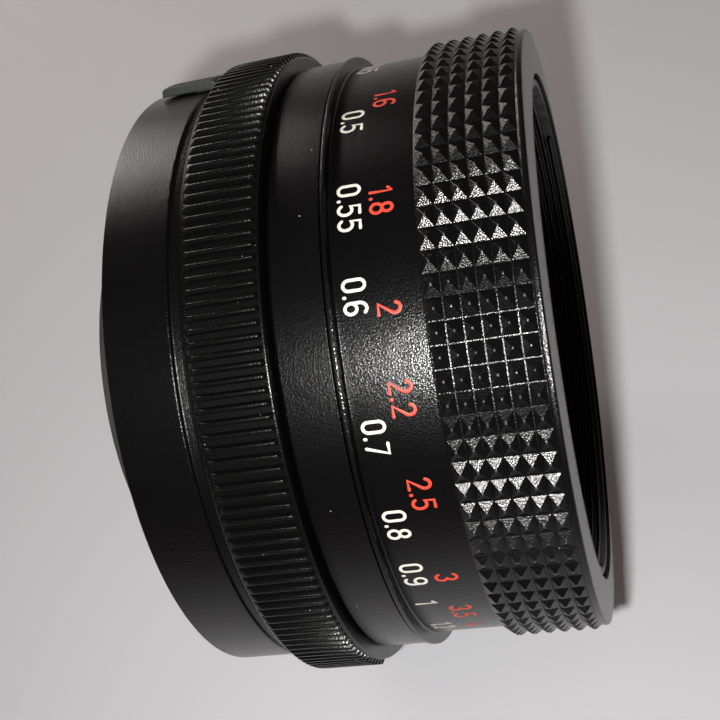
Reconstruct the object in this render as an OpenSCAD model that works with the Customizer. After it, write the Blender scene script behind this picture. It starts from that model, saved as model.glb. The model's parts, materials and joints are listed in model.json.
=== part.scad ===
// Manual-focus 50 mm f/1.8 prime lens for a 42 mm screw mount.
// X is the optical axis with the flange face at x = 0 and the front towards +X.
// Angles are taken about +X, counted from +Y towards +Z. The lens is focused at
// infinity with its iris open.

/* [Mount] */
// Crest radius of the mounting thread
thread_r = 21; // [20.9:0.05:21.1]
// Length of the mounting thread behind the flange
thread_len = 5.5; // [5.3:0.1:5.8]
// Radius at which the stop-down pin stands
pin_at_r = 16.6; // [16.5:0.05:16.7]
// How far the stop-down pin stands behind the thread
pin_proud = 1.8; // [1.2:0.1:2.4]

/* [Outer barrel] */
// Outer radius of the rear barrel
barrel_r = 30.5; // [30.3:0.05:30.6]
// Front end of the rear barrel
barrel_x = 7; // [6.95:0.05:7.1]
// Crest radius of the aperture ring
aperture_r = 32.2; // [31.8:0.1:32.6]
// Front end of the aperture ring
aperture_x = 14.95; // [14.9:0.05:15]
// Radius of the depth-of-field ring
depth_r = 30.4; // [30.3:0.05:30.7]
// Front end of the depth-of-field ring
depth_x = 19.85; // [19.8:0.05:19.9]

/* [Focus ring] */
// Radius of the distance scale band
scale_r = 29.4; // [29.35:0.05:29.6]
// Front end of the distance scale band
scale_x = 27.95; // [27.5:0.05:28.2]
// Radius of the thin lip behind the scale band
lip_r = 30.6; // [30.4:0.05:30.8]
// Crest radius of the grip
grip_r = 30.4; // [30.3:0.05:30.8]
// Front end of the whole lens
front_x = 37.8; // [37.7:0.05:38]
// Columns of the grip's pyramids
grip_columns = 6; // [5:1:8]

/* [Front] */
// Wall radius of the filter thread
filter_r = 24.5; // [24.45:0.05:24.6]
// Length of the filter thread
filter_len = 4; // [3:0.1:4.5]

/* [Iris] */
// Radius of the full opening
iris_open_r = 10.9; // [10.8:0.05:10.95]
// Turn of the aperture ring from open to closed, in degrees
ring_turn = 48; // [44:1:48]
// Turn of each blade from open to closed, in degrees
blade_turn = 32.6; // [30:0.1:32.6]

/* [Hidden] */
$fn = 96;
eps = 0.01;

// Coaxial sleeves of the focusing mechanism
fixed_r = 28.5;          // outer radius of the fixed sleeve
fixed_in = 27.3;         // its bore, which holds the focusing helicoid
fixed_front = 33.5;      // its front end
helicoid_r = 27.22;      // focusing helicoid, 0.08 clear in the fixed sleeve
helicoid_in = 25.68;     // its bore, 0.08 clear of the lens barrel
barrel_tube_r = 25.6;    // lens barrel's outer sleeve
barrel_tube_in = 24.2;
sleeve_rear = 12;        // rear end of the two moving sleeves
sleeve_step = 7.4;       // where the fixed sleeve widens under the aperture ring
cam_x = 8.1;             // rear end of the aperture cam's space
ring_wall_in = 28.8;     // bore of the focus scale ring and of the rear barrel
skirt_front = 35.4;      // front end of the scale ring's skirt under the grip
clear = 0.02;            // gap between parts that are fixed together

// Plates behind the sleeves
plate_t = 1.5;           // rear plate of the barrel
collar_t = 0.9;          // collar of the thread ring
spigot_r = thread_r - 1; // thread ring's neck in the plate
relief_r = thread_r + 0.2; // relief groove round the neck
relief_depth = 0.5;
web_front = 3.9;         // front face of the fixed sleeve's web

// Rear baffle and stop-down pin
baffle_x = -3.6;
baffle_t = 0.8;
thread_bore = 18;
pin_angle = 66.5;
pin_r = 0.85;
pin_front = 5.2;
pin_collar_x = -2.2;

// Mode switch
switch_angle = 46;
switch_half = 5.5;       // half of the angle that it covers
switch_rear = 1.1;
switch_front = 6.9;
switch_stem_x = 5.1;     // middle of its stem and of the slot
switch_travel = 8;

// Aperture ring drive
drive_angle = 250;
drive_x = 9.8;
fork_angle = 100;
fork_r = 22.3;
fork_w = 1.6;

// Click stop
click_angle = 300;
click_at_r = 29.45;
ball_r = 0.65;
ball_x = aperture_x + 0.3;
spring_front = 19.15;

// Small fasteners: angles and places
depth_screw_angles = [210, 290, 370];
depth_screw_x = 18.4;
mount_screw_angles = [30, 150, 270];
mount_screw_at_r = 24.6;
baffle_screw_angles = [6, 126, 246];
baffle_screw_at_r = 18.65;
grip_screw_angles = [20, 140, 260];
grip_screw_x = 34.7;
key_angles = [0, 180];
key_screw_at_r = 23.4;
key_screw_offset = 1.4;
key_w = 5;

// Optical surfaces: vertex position and radius of curvature, front to back
v1 = 28.75; c1 = 35.4;
v2 = 24.4;  c2 = 101;
v3 = 24.15; c3 = 20.2;
v4 = 19.05;
v5 = 17.45; c5 = 13.1;
v6 = 5.45;  c6 = 14.5;
v7 = 3.85;
v8 = -1.95; c8 = 19.6;
v9 = -2.15; c9 = 66;
v10 = -5.6; c10 = 36;
front_element_r = 15.6;
front_doublet_r = 12.6;
rear_doublet_r = 10.5;
rear_element_r = 11.5;

// Iris
blade_count = 6;
blade_t = 0.2;
blade_pitch = 0.27;
blade_top = 11.98;
blade_out_r = 15.2;
blade_span = 125;
pivot_r = 16.9;
pivot_pin_r = 0.5;
drive_pin_r = 0.45;
drive_pin_lead = 12;
drive_ring_rear = 9.2;
drive_ring_front = 10.2;
iris_wall_in = 18;

// ---- helpers ----

// Lays a shape made about Z along the optical axis, at an angle about it
module on_axis(angle = 0) { rotate([angle, 0, 0]) rotate([90, 0, 90]) children(); }

// Solid of revolution about the optical axis from [radius, x] points
module turned(points) { on_axis() rotate_extrude() polygon(points); }

// Plain tube between two x positions
module tube(r_out, r_in, x0, x1) {
    turned([[r_in, x0], [r_out, x0], [r_out, x1], [r_in, x1]]);
}

// Rod parallel to the optical axis
module rod_at(angle, at_r, r, x0, x1) {
    on_axis(angle) translate([at_r, 0, x0]) cylinder(r = r, h = x1 - x0);
}

// Rod pointing outwards from the optical axis
module radial_rod(angle, x, r, r0, r1) {
    on_axis(angle) translate([r0, 0, x]) rotate([0, 90, 0]) cylinder(r = r, h = r1 - r0);
}

// Box from r0 to r1, centred on an angle
module radial_box(angle, r0, r1, w, x0, x1) {
    on_axis(angle) translate([r0, -w / 2, x0]) cube([r1 - r0, w, x1 - x0]);
}

// Sphere centred on the optical axis
module ball(x, r) { on_axis() translate([0, 0, x]) sphere(r = r, $fn = 256); }

// Outline of a sector of a ring
function arc_points(r, a0, a1, n = 24) =
    [for (i = [0:n]) r * [cos(a0 + (a1 - a0) * i / n), sin(a0 + (a1 - a0) * i / n)]];
function reversed(list) = [for (i = [len(list) - 1:-1:0]) list[i]];

// Block with round walls, between two angles
module arc_block(r_out, r_in, a0, a1, x0, x1) {
    intersection() {
        tube(r_out, r_in, x0, x1);
        on_axis() translate([0, 0, x0 - 1]) linear_extrude(x1 - x0 + 2)
            polygon(concat([[0, 0]], arc_points(2 * r_out, a0, a1)));
    }
}

// ---- fixed parts ----

module rear_barrel() {
    color([0.05, 0.05, 0.05]) difference() {
        turned([[relief_r, 0], [barrel_r - 0.15, 0], [barrel_r, 0.15],
                [barrel_r, barrel_x], [ring_wall_in, barrel_x], [ring_wall_in, plate_t],
                [spigot_r + clear, plate_t], [spigot_r + clear, relief_depth],
                [relief_r, relief_depth]]);
        for (a = mount_screw_angles) {
            rod_at(a, mount_screw_at_r, 1.02, -1, plate_t + 1);
            rod_at(a, mount_screw_at_r, 1.72, -1, 0.62);
        }
        arc_block(barrel_r + 1, ring_wall_in - 1, switch_angle - switch_travel - 3, switch_angle + 5,
                  switch_stem_x - 1.2, switch_stem_x + 1.2);
    }
}

module mount_thread_ring() {
    step_x = baffle_x + baffle_t;
    color([0.45, 0.46, 0.45]) difference() {
        turned([[thread_bore + 1.3, -thread_len], [thread_r - 0.4, -thread_len],
                [thread_r, -thread_len + 0.4], [thread_r, 0], [spigot_r, 0], [spigot_r, plate_t],
                [thread_r + 1.6, plate_t], [thread_r + 1.6, plate_t + collar_t],
                [thread_bore, plate_t + collar_t], [thread_bore, step_x],
                [thread_bore + 1.3, step_x]]);
        for (a = baffle_screw_angles) rod_at(a, baffle_screw_at_r, 0.42, step_x - 1, step_x + 1.4);
    }
}

module mount_screws() {
    color([0.1, 0.1, 0.1]) for (a = mount_screw_angles) difference() {
        union() {
            rod_at(a, mount_screw_at_r, 1, 0.1, web_front - 0.4);
            rod_at(a, mount_screw_at_r, 1.7, 0.05, 0.6);
        }
        radial_box(a, mount_screw_at_r - 1.3, mount_screw_at_r + 1.3, 0.4, 0, 0.35);
    }
}

module rear_baffle() {
    color([0.03, 0.03, 0.03]) difference() {
        tube(thread_bore + 1.2, 14.4, baffle_x, baffle_x + baffle_t - clear);
        rod_at(pin_angle, pin_at_r, pin_r + 0.08, baffle_x - 1, baffle_x + 2);
        for (a = baffle_screw_angles) rod_at(a, baffle_screw_at_r, 0.42, baffle_x - 1, baffle_x + 2);
    }
}

module baffle_screws() {
    color([0.1, 0.1, 0.1]) for (a = baffle_screw_angles) difference() {
        union() {
            rod_at(a, baffle_screw_at_r, 0.4, baffle_x - 0.1, baffle_x + baffle_t + 1.2);
            rod_at(a, baffle_screw_at_r - 0.05, 0.6, baffle_x - 0.45, baffle_x - clear);
        }
        radial_box(a, 18, 19.3, 0.2, baffle_x - 1, baffle_x - 0.25);
    }
}

module fixed_sleeve() {
    recess_r = thread_r + 1.65;
    color([0.07, 0.07, 0.07]) difference() {
        turned([[thread_r - 0.8, plate_t + collar_t + clear],
                [recess_r, plate_t + collar_t + clear], [recess_r, plate_t + clear],
                [fixed_in, plate_t + clear], [fixed_in, sleeve_step], [fixed_r, sleeve_step],
                [fixed_r, fixed_front], [fixed_in, fixed_front],
                [fixed_in, cam_x + 0.1], [26.2, cam_x + 0.1], [26.2, web_front],
                [thread_r - 0.8, web_front]]);
        for (a = mount_screw_angles) rod_at(a, mount_screw_at_r, 1.02, 0, web_front - 0.3);
        for (a = depth_screw_angles) radial_rod(a, depth_screw_x, 0.82, fixed_r - 0.5, fixed_r + 1);
        for (a = key_angles) key_screw_rods(a, 0.52, web_front - 1.1, 2);
        arc_block(fixed_r + 1, fixed_in - 1, drive_angle - 3, drive_angle + ring_turn + 3,
                  drive_x - 1.2, drive_x + 1.2);
    }
}

module depth_scale_ring() {
    rear_x = aperture_x + 0.15;
    bevel = 0.3;
    color([0.05, 0.05, 0.05]) difference() {
        turned([[fixed_r + clear, rear_x], [depth_r - bevel, rear_x], [depth_r, rear_x + bevel],
                [depth_r, depth_x], [fixed_r + clear, depth_x]]);
        for (a = depth_screw_angles) radial_rod(a, depth_screw_x, 0.82, fixed_r - 1, depth_r + 1);
        rod_at(click_angle, click_at_r, ball_r + 0.03, rear_x - 1, spring_front + 0.05);
    }
}

module depth_ring_screws() {
    color([0.12, 0.12, 0.12]) for (a = depth_screw_angles) difference() {
        radial_rod(a, depth_screw_x, 0.8, fixed_r - 0.45, depth_r - 0.25);
        on_axis(a) translate([depth_r - 0.6, -1, depth_screw_x - 0.1]) cube([1, 2, 0.2]);
    }
}

// A key's two screws, or the holes for them
module key_screw_rods(angle, r, x, h) {
    for (s = [-1, 1]) on_axis(angle)
        translate([key_screw_at_r, s * key_screw_offset, x]) cylinder(r = r, h = h);
}

module guide_keys() {
    color([0.75, 0.62, 0.3]) for (a = key_angles) difference() {
        union() {
            radial_box(a, barrel_tube_in + 0.1, barrel_tube_r - 0.1, key_w, web_front + clear, 25);
            radial_box(a, key_screw_at_r - 1, barrel_tube_r - 0.1, key_w,
                       web_front + clear, web_front + 1.2);
        }
        key_screw_rods(a, 0.52, web_front - 1, 3);
    }
}

module key_screws() {
    color([0.6, 0.6, 0.6]) for (a = key_angles) key_screw_rods(a, 0.5, web_front - 1, 2.15);
}

module click_ball() {
    color([0.8, 0.8, 0.8]) on_axis(click_angle) translate([click_at_r, 0, ball_x]) sphere(r = ball_r);
}

module click_spring() {
    color([0.7, 0.7, 0.7]) difference() {
        rod_at(click_angle, click_at_r, 0.55, ball_x + ball_r + clear, spring_front);
        rod_at(click_angle, click_at_r, 0.35, ball_x, 20);
    }
}

module pin_guide() {
    color([0.6, 0.5, 0.25]) difference() {
        union() {
            rod_at(pin_angle, pin_at_r, 1.9, web_front + 0.3, 6.2);
            radial_box(pin_angle, pin_at_r, 23.8, 3, web_front + clear, web_front + 1);
        }
        rod_at(pin_angle, pin_at_r, pin_r + 0.08, 0, 8);
    }
}

// ---- aperture ring ----

module aperture_ring() {
    rear_x = barrel_x + 0.15;
    bore_r = fixed_r + 0.08;
    shoulder = 1.3;
    lip = 0.15;
    color([0.05, 0.05, 0.05]) difference() {
        turned(concat([[bore_r, rear_x], [aperture_r - 1.45, rear_x], [aperture_r - 1.3, rear_x + 0.1]],
            [for (a = [30:15:90]) [aperture_r - shoulder * (1 - sin(a)),
                                   rear_x + 0.1 + shoulder * (1 - cos(a))]],
            [[aperture_r, aperture_x - lip], [aperture_r - lip, aperture_x], [bore_r, aperture_x]]));
        tube(click_at_r + 0.8, click_at_r - 0.8, aperture_x - 0.6, aperture_x + 1);
        radial_rod(drive_angle, drive_x, 0.87, fixed_r - 1, aperture_r + 1);
    }
}

module aperture_cam() {
    cam_front = 11.2;
    arm_front = 8.9;
    color([0.6, 0.5, 0.25]) difference() {
        union() {
            tube(fixed_in - 0.3, 25.95, cam_x + 0.3, cam_front);
            radial_box(fork_angle, fork_r - fork_w / 2, 26.4, 2.4, cam_x + 0.15, arm_front);
            radial_box(fork_angle, fork_r - fork_w / 2, fork_r + fork_w / 2, fork_w,
                       cam_x + 0.15, 22.5);
        }
        radial_rod(drive_angle, drive_x, 0.87, 24, 30);
    }
}

module aperture_drive_screw() {
    color([0.12, 0.12, 0.12]) difference() {
        radial_rod(drive_angle, drive_x, 0.85, 26.1, aperture_r - 0.9);
        on_axis(drive_angle) translate([aperture_r - 1.3, -1, drive_x - 0.12]) cube([1, 2, 0.24]);
    }
}

// ---- mode switch and stop-down pin ----

module mode_switch() {
    top_r = barrel_r + 1.05;
    step = 1.8;
    color([0.10, 0.11, 0.10]) union() {
        difference() {
            arc_block(top_r, barrel_r + 0.2, switch_angle - switch_half, switch_angle + switch_half,
                      switch_rear, switch_front);
            for (i = [-2:2]) radial_box(switch_angle + i * step, top_r - 0.2, top_r + 1, 0.32,
                                        switch_rear - 1, switch_front - 0.9);
        }
        arc_block(barrel_r + 0.4, ring_wall_in - 0.3, switch_angle - 2, switch_angle + 2,
                  switch_stem_x - 0.9, switch_stem_x + 0.9);
        arc_block(ring_wall_in - 0.25, ring_wall_in - 0.9, switch_angle - 4, switch_angle + 4,
                  switch_stem_x - 1.3, switch_stem_x + 1.3);
    }
}

module stop_down_pin() {
    color([0.75, 0.75, 0.75]) union() {
        rod_at(pin_angle, pin_at_r, pin_r, -thread_len - pin_proud + 0.3, pin_front);
        rod_at(pin_angle, pin_at_r, 0.6, -thread_len - pin_proud, 0);
        rod_at(pin_angle, pin_at_r, 1.25, pin_collar_x, pin_collar_x + 0.7);
    }
}

module pin_spring() {
    color([0.7, 0.7, 0.7]) difference() {
        rod_at(pin_angle, pin_at_r, 1.3, pin_collar_x + 0.72, web_front);
        rod_at(pin_angle, pin_at_r, 0.95, pin_collar_x, 8);
    }
}

// ---- lens unit ----

module lens_barrel() {
    rim_x = front_x - 0.4;
    thread_x = rim_x - filter_len;
    seat_r = 16.65;
    seat_wall = 18.4;
    web_x = 26.4;
    web_end = 27.9;
    color([0.05, 0.05, 0.05]) difference() {
        turned([[barrel_tube_in, sleeve_rear], [barrel_tube_r, sleeve_rear],
                [barrel_tube_r, 33], [25.4, 33.2], [25.4, rim_x - 0.2], [25.2, rim_x],
                [filter_r, rim_x], [filter_r, thread_x], [barrel_tube_in, thread_x],
                [barrel_tube_in, web_end], [seat_r, web_end], [seat_r, 12.9],
                [seat_wall, 12.9], [seat_wall, web_x], [barrel_tube_in, web_x]]);
        for (a = key_angles) radial_box(a, barrel_tube_in - 0.5, barrel_tube_r + 1, key_w + 0.3,
                                        sleeve_rear - 1, 25.6);
    }
}

module front_trim_ring() {
    color([0.04, 0.04, 0.04])
        turned([[18.5, 27.95], [barrel_tube_in - 0.05, 27.95], [barrel_tube_in - 0.05, 31],
                [23.6, 31], [23.4, 30.8], [16.2, 29.8], [15.3, 29.45], [18.5, 29.45]]);
}

module front_cell() {
    color([0.04, 0.04, 0.04])
        turned([[front_doublet_r + 0.02, 12.92], [16.63, 12.92], [16.63, 29.4],
                [front_element_r + 0.02, 29.4], [front_element_r + 0.02, 23.15],
                [13.2, 23.15], [13.2, 22], [12.2, 21.6], [12.2, 20.8],
                [front_doublet_r + 0.02, 19.8]]);
}

module front_element() {
    color([0.5, 0.55, 0.6, 0.5]) difference() {
        intersection() {
            on_axis() translate([0, 0, 20]) cylinder(r = front_element_r, h = 10);
            ball(v1 - c1, c1);
        }
        ball(v2 - c2, c2);
    }
}

module second_element() {
    color([0.5, 0.55, 0.6, 0.5]) intersection() {
        on_axis() translate([0, 0, v4 + 0.005]) cylinder(r = front_doublet_r, h = 6);
        ball(v3 - c3, c3);
    }
}

module third_element() {
    edge_x = 13.37;
    color([0.5, 0.55, 0.6, 0.5]) difference() {
        on_axis() translate([0, 0, edge_x]) cylinder(r = front_doublet_r, h = v4 - 0.005 - edge_x);
        ball(v5 - c5, c5);
    }
}

module front_retainer() {
    color([0.04, 0.04, 0.04]) difference() {
        tube(front_element_r, 14.9, 25.5, 27.2);
        for (a = [0, 180]) radial_box(a, 14.5, 16, 1.2, 26.7, 28);
    }
}

module doublet_retainer() {
    color([0.04, 0.04, 0.04]) tube(front_doublet_r, 9.8, 12.92, 13.35);
}

module iris_base() {
    plate_rear = blade_top + 0.1;
    color([0.2, 0.2, 0.2]) difference() {
        union() {
            tube(iris_wall_in + 0.6, iris_open_r + 0.1, plate_rear, 12.88);
            tube(iris_wall_in + 0.6, iris_wall_in, 7.5, plate_rear + eps);
        }
        for (i = [0:blade_count - 1])
            rod_at(i * 360 / blade_count, pivot_r, pivot_pin_r + 0.05, plate_rear - 1, 14);
        arc_block(iris_wall_in + 2, iris_wall_in - 1, fork_angle - 8, fork_angle + ring_turn + 8,
                  drive_ring_rear - 0.1, drive_ring_front + 0.15);
    }
}

module rear_cell() {
    color([0.05, 0.05, 0.05])
        turned([[rear_element_r + 0.02, -5.9], [13.6, -5.9], [14, -5.5], [14, 7.5],
                [iris_wall_in - 0.05, 7.5], [iris_wall_in - 0.05, 9.05],
                [rear_doublet_r + 0.02, 9.05], [rear_doublet_r + 0.02, 0.6],
                [9.8, 0.6], [9.8, -2.6], [rear_element_r + 0.02, -2.6]]);
}

module fourth_element() {
    edge_x = 8.58;
    color([0.5, 0.55, 0.6, 0.5]) difference() {
        on_axis() translate([0, 0, v7 + 0.005]) cylinder(r = rear_doublet_r, h = edge_x - v7);
        ball(v6 + c6, c6);
    }
}

module fifth_element() {
    color([0.5, 0.55, 0.6, 0.5]) intersection() {
        on_axis() translate([0, 0, v8 - 1]) cylinder(r = rear_doublet_r, h = v7 - 0.005 - v8 + 1);
        ball(v8 + c8, c8);
    }
}

module rear_element() {
    color([0.5, 0.55, 0.6, 0.5]) intersection() {
        on_axis() translate([0, 0, -8]) cylinder(r = rear_element_r, h = 8);
        ball(v9 - c9, c9);
        ball(v10 + c10, c10);
    }
}

module rear_retainer() {
    color([0.04, 0.04, 0.04]) difference() {
        tube(rear_element_r, 10.6, -5.75, -4.05);
        for (a = [0, 180]) radial_box(a, 10, 12, 1, -7, -5.2);
    }
}

module rear_doublet_retainer() {
    color([0.04, 0.04, 0.04]) tube(rear_doublet_r, 9.2, 8.62, 9.05);
}

// ---- iris ----

// Where a blade's drive pin is when the blade has turned by d degrees
function drive_pin_place(d) =
    let (reach = 2 * pivot_r * sin(drive_pin_lead / 2), dir = 90 + drive_pin_lead / 2 + d)
    [pivot_r + reach * cos(dir), reach * sin(dir)];

// The same place as the turning drive ring sees it
function slot_place(d) =
    let (p = drive_pin_place(d), a = -d * ring_turn / blade_turn)
    [p[0] * cos(a) - p[1] * sin(a), p[0] * sin(a) + p[1] * cos(a)];

// Unit normal of the slot's centre line
function slot_normal(d) =
    let (t = slot_place(d + 0.1) - slot_place(d - 0.1)) [-t[1], t[0]] / norm(t);

module cam_slot_2d() {
    half = drive_pin_r + 0.12;
    steps = [for (i = [-1:13]) i * blade_turn / 12];
    polygon(concat([for (d = steps) slot_place(d) + half * slot_normal(d)],
                   reversed([for (d = steps) slot_place(d) - half * slot_normal(d)])));
}

module iris_drive_ring() {
    arm_w = 4;
    color([0.35, 0.3, 0.2]) difference() {
        union() {
            tube(iris_wall_in - 0.15, 13.9, drive_ring_rear, drive_ring_front);
            radial_box(fork_angle, iris_wall_in - 1, 23.5, arm_w, drive_ring_rear, drive_ring_front);
        }
        for (i = [0:blade_count - 1]) on_axis(i * 360 / blade_count)
            translate([0, 0, drive_ring_rear - 1]) linear_extrude(3) cam_slot_2d();
        radial_box(fork_angle, fork_r - fork_w / 2 - 0.3, 24, fork_w + 0.3,
                   drive_ring_rear - 1, drive_ring_front + 1);
    }
}

// One blade: a curved strip with a tab for its two pins
module iris_blade(index) {
    top = blade_top - index * blade_pitch;
    tab = drive_pin_place(0);
    color([0.12, 0.12, 0.14]) on_axis(index * 360 / blade_count) union() {
        translate([0, 0, top - blade_t]) linear_extrude(blade_t) union() {
            polygon(concat(arc_points(blade_out_r, -2, blade_span),
                           reversed(arc_points(iris_open_r, -2, blade_span))));
            polygon(concat([[blade_out_r - 1, -1.2], [pivot_r + 0.5, -0.8]],
                           arc_points(pivot_r + 0.7, 0, drive_pin_lead, 6),
                           [[blade_out_r - 0.6, tab[1] + 1]]));
        }
        translate([pivot_r, 0, top - eps]) cylinder(r = pivot_pin_r, h = 12.8 - top);
        translate([tab[0], tab[1], drive_ring_rear + 0.1])
            cylinder(r = drive_pin_r, h = top - blade_t - drive_ring_rear - 0.1 + eps);
    }
}

// ---- focus ring ----

module focus_scale_ring() {
    rear_x = depth_x + 0.2;
    lip_end = rear_x + 0.4;
    bevel = 0.12;
    skirt_r = ring_wall_in + 0.5;
    color([0.05, 0.05, 0.05]) difference() {
        turned([[ring_wall_in, rear_x], [lip_r - bevel, rear_x], [lip_r, rear_x + bevel],
                [lip_r, lip_end - bevel], [lip_r - bevel, lip_end], [scale_r, lip_end],
                [scale_r, scale_x - 0.1], [scale_r - 0.1, scale_x], [skirt_r, scale_x],
                [skirt_r, skirt_front], [ring_wall_in, skirt_front]]);
        for (a = grip_screw_angles) radial_rod(a, grip_screw_x, 0.82, 28, 31);
    }
}

module focus_grip() {
    grip_in = ring_wall_in + 0.52;
    valley_r = grip_r - 0.5;
    pitch = (front_x - 0.95 - scale_x - 0.1) / grip_columns;
    start = scale_x + 0.1;
    color([0.05, 0.05, 0.05]) turned(concat(
        [[grip_in, scale_x + clear], [valley_r, scale_x + clear]],
        [for (i = [0:grip_columns - 1]) each
            [[valley_r, start + i * pitch], [grip_r, start + (i + 0.5) * pitch]]],
        [[valley_r, start + grip_columns * pitch], [valley_r, front_x - 0.6],
         [valley_r - 0.5, front_x - 0.2], [28.6, front_x], [25.9, front_x], [25.7, front_x - 0.2],
         [25.7, skirt_front + 0.15], [grip_in, skirt_front + 0.15]]));
}

module focus_helicoid() {
    flange_x = 34;
    color([0.7, 0.7, 0.7]) difference() {
        turned([[helicoid_in, sleeve_rear], [helicoid_r, sleeve_rear], [helicoid_r, flange_x],
                [ring_wall_in - clear, flange_x], [ring_wall_in - clear, skirt_front],
                [helicoid_in, skirt_front]]);
        for (a = grip_screw_angles) radial_rod(a, grip_screw_x, 0.62, 26.4, 30);
    }
}

module focus_ring_screws() {
    color([0.12, 0.12, 0.12]) for (a = grip_screw_angles)
        radial_rod(a, grip_screw_x, 0.6, 26.5, ring_wall_in + 0.48);
}

rear_barrel();
mount_thread_ring();
mount_screws();
rear_baffle();
baffle_screws();
fixed_sleeve();
depth_scale_ring();
depth_ring_screws();
guide_keys();
key_screws();
click_ball();
click_spring();
pin_guide();
aperture_ring();
aperture_cam();
aperture_drive_screw();
mode_switch();
stop_down_pin();
pin_spring();
lens_barrel();
front_trim_ring();
front_cell();
front_element();
second_element();
third_element();
front_retainer();
doublet_retainer();
iris_base();
rear_cell();
fourth_element();
fifth_element();
rear_element();
rear_retainer();
rear_doublet_retainer();
iris_drive_ring();
iris_blade(0);  // iris_blade_1
iris_blade(1);  // iris_blade_2
iris_blade(2);  // iris_blade_3
iris_blade(3);  // iris_blade_4
iris_blade(4);  // iris_blade_5
iris_blade(5);  // iris_blade_6
focus_scale_ring();
focus_grip();
focus_helicoid();
focus_ring_screws();
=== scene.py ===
import json
from math import atan2, cos, degrees, pi, radians, sin
import bpy
from mathutils import Matrix, Vector

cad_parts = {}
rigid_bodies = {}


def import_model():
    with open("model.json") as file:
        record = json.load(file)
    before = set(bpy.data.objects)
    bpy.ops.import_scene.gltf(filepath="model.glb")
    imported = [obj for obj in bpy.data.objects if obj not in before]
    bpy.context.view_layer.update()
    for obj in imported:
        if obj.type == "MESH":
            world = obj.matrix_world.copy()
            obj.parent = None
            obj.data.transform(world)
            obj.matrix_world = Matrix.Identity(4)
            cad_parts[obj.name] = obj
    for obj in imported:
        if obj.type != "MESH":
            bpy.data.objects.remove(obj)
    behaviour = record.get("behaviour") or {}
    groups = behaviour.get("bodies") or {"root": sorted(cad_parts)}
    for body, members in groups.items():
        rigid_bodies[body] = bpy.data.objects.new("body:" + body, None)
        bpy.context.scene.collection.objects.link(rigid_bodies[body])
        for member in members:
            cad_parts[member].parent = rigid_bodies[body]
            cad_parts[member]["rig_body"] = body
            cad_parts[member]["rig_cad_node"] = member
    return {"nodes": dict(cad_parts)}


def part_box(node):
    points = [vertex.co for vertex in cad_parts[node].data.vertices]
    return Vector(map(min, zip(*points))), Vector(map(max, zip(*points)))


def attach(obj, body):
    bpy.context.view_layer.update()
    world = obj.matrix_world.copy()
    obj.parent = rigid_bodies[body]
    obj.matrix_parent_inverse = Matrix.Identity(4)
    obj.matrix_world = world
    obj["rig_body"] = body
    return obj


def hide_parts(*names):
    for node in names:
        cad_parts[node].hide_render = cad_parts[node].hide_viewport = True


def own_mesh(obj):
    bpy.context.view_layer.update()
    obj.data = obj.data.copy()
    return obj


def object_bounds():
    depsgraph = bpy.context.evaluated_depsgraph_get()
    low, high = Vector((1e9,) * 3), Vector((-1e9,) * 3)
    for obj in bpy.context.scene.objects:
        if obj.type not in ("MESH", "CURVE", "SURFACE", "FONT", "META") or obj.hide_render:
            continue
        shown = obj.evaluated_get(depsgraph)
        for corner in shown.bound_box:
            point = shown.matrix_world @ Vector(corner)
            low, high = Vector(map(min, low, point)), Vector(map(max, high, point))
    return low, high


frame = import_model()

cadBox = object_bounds()
mm = 0.001
print("frame loaded:", len(frame["nodes"]), "nodes")


# ---------- tools for the bench ----------

def deselectAll():
    if bpy.context.object and bpy.context.object.mode != "OBJECT":
        bpy.ops.object.mode_set(mode="OBJECT")
    bpy.ops.object.select_all(action="DESELECT")


def pick(piece):
    deselectAll()
    piece.select_set(True)
    bpy.context.view_layer.objects.active = piece


# x of both ends and the outer radius of a turned CAD node, in mm
def ringSpan(node):
    low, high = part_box(node)
    return low.x / mm, high.x / mm, max(high.y, high.z) / mm


# points of a round stretch of an outline, (x, radius) in mm, angles in degrees
def roundStretch(x, r, size, start, stop, count=6):
    turns = [start + (stop - start) * i / count for i in range(count + 1)]
    return [(x + size * cos(radians(a)), r + size * sin(radians(a))) for a in turns]


# draws a closed outline of (x, radius) corners by extruding one vertex from corner to corner
def drawOutline(name, corners):
    deselectAll()
    x, r = corners[0]
    bpy.ops.mesh.primitive_plane_add(size=mm, location=(x * mm, r * mm, 0))
    piece = bpy.context.object
    piece.name = piece.data.name = name
    bpy.ops.object.transform_apply()
    bpy.ops.object.mode_set(mode="EDIT")
    bpy.ops.mesh.select_all(action="SELECT")
    bpy.ops.mesh.merge(type="CENTER")
    for (xa, ra), (xb, rb) in zip(corners, corners[1:] + corners[:1]):
        step = ((xb - xa) * mm, (rb - ra) * mm, 0)
        bpy.ops.mesh.extrude_region_move(TRANSFORM_OT_translate={"value": step})
    bpy.ops.mesh.select_all(action="SELECT")
    bpy.ops.mesh.remove_doubles(threshold=1e-7)
    return piece


# a full turn of an outline about the optical axis
def turnOnLathe(name, corners, steps=256):
    piece = drawOutline(name, corners)
    bpy.ops.mesh.spin(steps=steps, angle=2 * pi, center=(0, 0, 0), axis=(1, 0, 0))
    bpy.ops.mesh.select_all(action="SELECT")
    bpy.ops.mesh.remove_doubles(threshold=1e-6)
    bpy.ops.mesh.normals_make_consistent(inside=False)
    bpy.ops.object.mode_set(mode="OBJECT")
    return piece


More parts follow.
